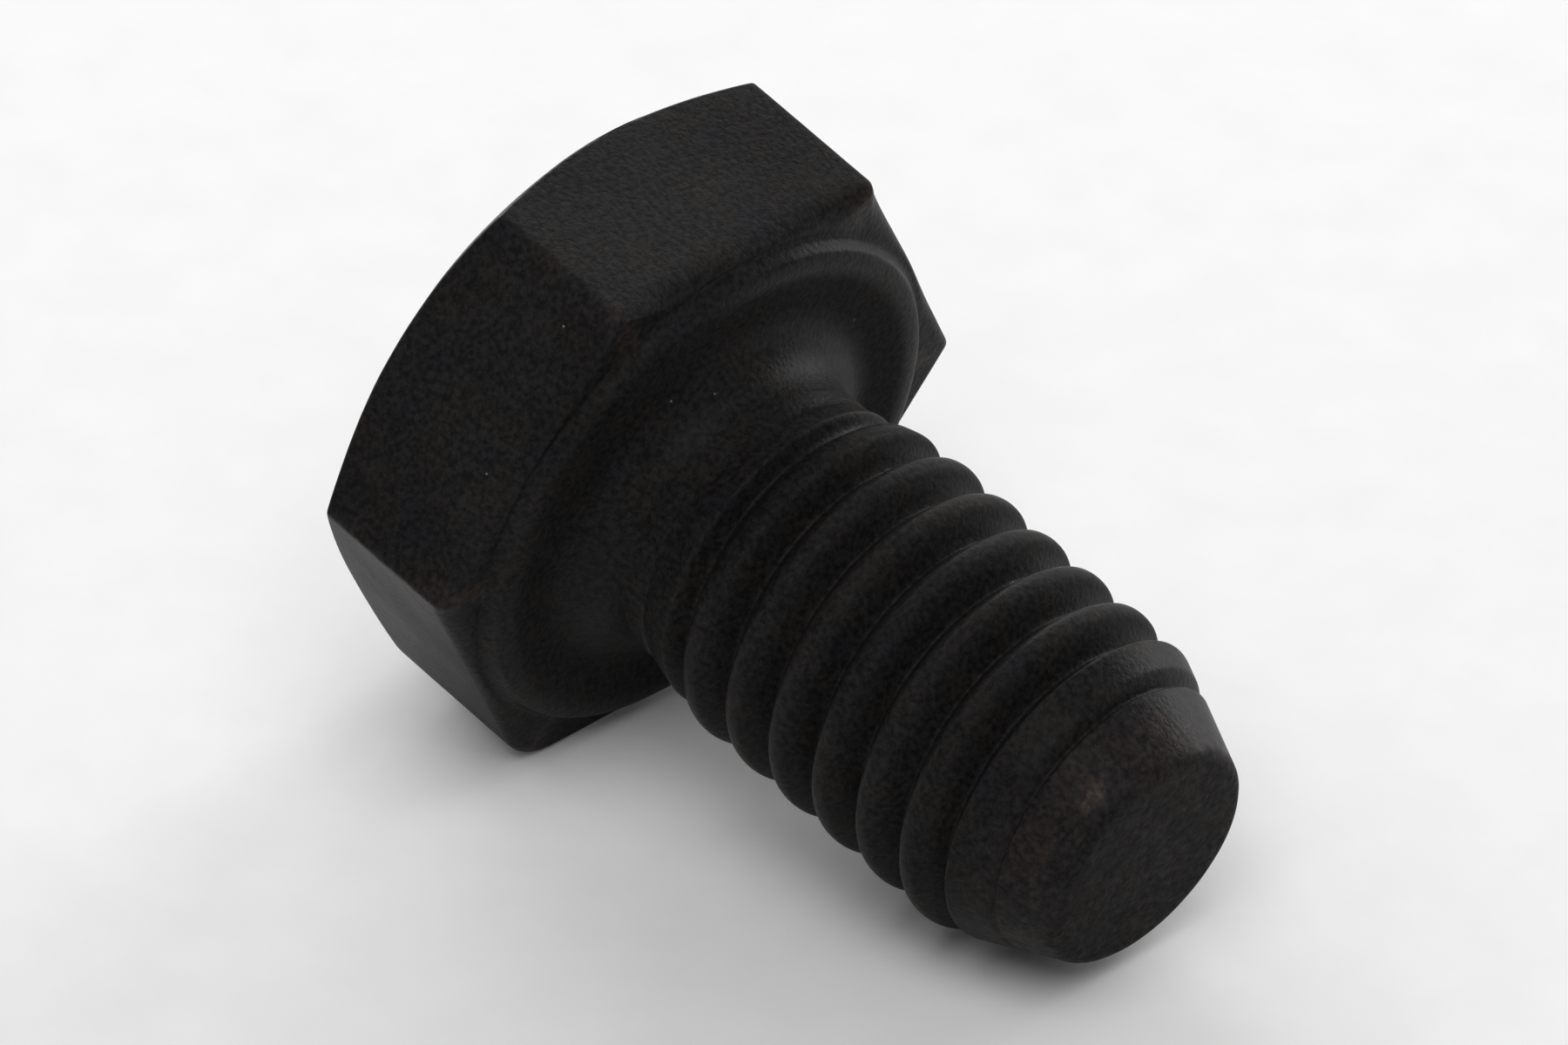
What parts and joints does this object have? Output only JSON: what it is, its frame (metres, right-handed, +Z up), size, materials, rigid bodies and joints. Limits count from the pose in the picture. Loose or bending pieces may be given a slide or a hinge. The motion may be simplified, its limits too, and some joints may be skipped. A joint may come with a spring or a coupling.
{
  "type": "hexagon head screw",
  "caption": "Short black hexagon head screw with a raised bearing face, a plain neck, a coarse right-hand thread and a tapered point.",
  "frame": {"origin": "on the ground, under the middle of the screw's box as it lies at rest", "axes": "+X from the head towards the point along the ground, +Z up; the screw's axis dips 13.56 degrees below +X towards the point"},
  "size_m": [0.015, 0.0114, 0.0103],
  "materials": {
    "black_steel": "satin"
  },
  "bodies": {
    "root": {"screw": "black_steel"}
  },
  "joints": []
}
